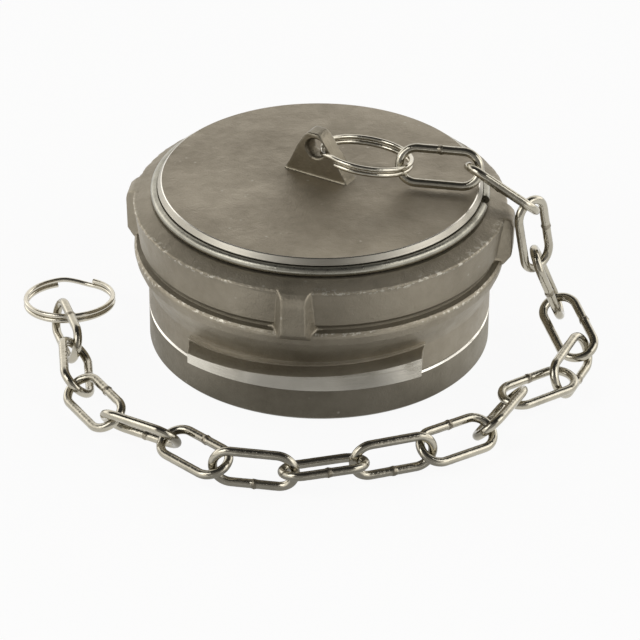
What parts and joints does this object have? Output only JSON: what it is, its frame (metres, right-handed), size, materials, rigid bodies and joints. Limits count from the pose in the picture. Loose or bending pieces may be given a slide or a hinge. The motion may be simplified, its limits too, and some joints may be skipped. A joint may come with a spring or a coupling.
{
  "type": "blind plug",
  "caption": "Round cast blind plug with a turning locking ring of ramps and spanner lugs, a hollow underside with a face gasket, and a keeper chain with split rings.",
  "frame": {"origin": "centre of the open face that meets the other coupling, on the surface the plug stands on", "axes": "+Z along the plug's axis from the open face to the closed top with the eye; -Y towards the picture's viewpoint"},
  "size_m": [0.2091, 0.1838, 0.0794],
  "materials": {
    "cast_body": "as-cast stainless steel, warm grey",
    "cast_ring": "as-cast stainless steel with machined ramp faces",
    "spring_wire": "bright round spring wire",
    "gasket": "moulded black rubber",
    "ring_steel": "polished stainless split ring",
    "chain_steel": "polished welded stainless chain"
  },
  "bodies": {
    "plug": {"plug_body": "cast_body", "snap_ring": "spring_wire", "face_gasket": "gasket", "eye_split_ring": "ring_steel", "chain_link_01": "chain_steel", "chain_link_02": "chain_steel", "chain_link_03": "chain_steel", "chain_link_04": "chain_steel", "chain_link_05": "chain_steel", "chain_link_06": "chain_steel", "chain_link_07": "chain_steel", "chain_link_08": "chain_steel", "chain_link_09": "chain_steel", "chain_link_10": "chain_steel", "chain_link_11": "chain_steel", "chain_link_12": "chain_steel", "chain_link_13": "chain_steel", "chain_link_14": "chain_steel", "chain_link_15": "chain_steel", "chain_link_16": "chain_steel", "chain_link_17": "chain_steel"},
    "ring": {"locking_ring": "cast_ring"},
    "end_ring": {"end_split_ring": "ring_steel"}
  },
  "joints": [
    {"name": "ring_turn", "type": "hinge", "parent": "plug", "child": "ring", "pos_m": [0, 0, 0.035], "axis": [0, 0, 1], "continuous": true},
    {"name": "end_ring_swing", "type": "hinge", "parent": "plug", "child": "end_ring", "pos_m": [-0.09555, -0.00276, 0.008], "axis": [0.247, 0.077, 0.966], "range_deg": [0, 60]}
  ]
}
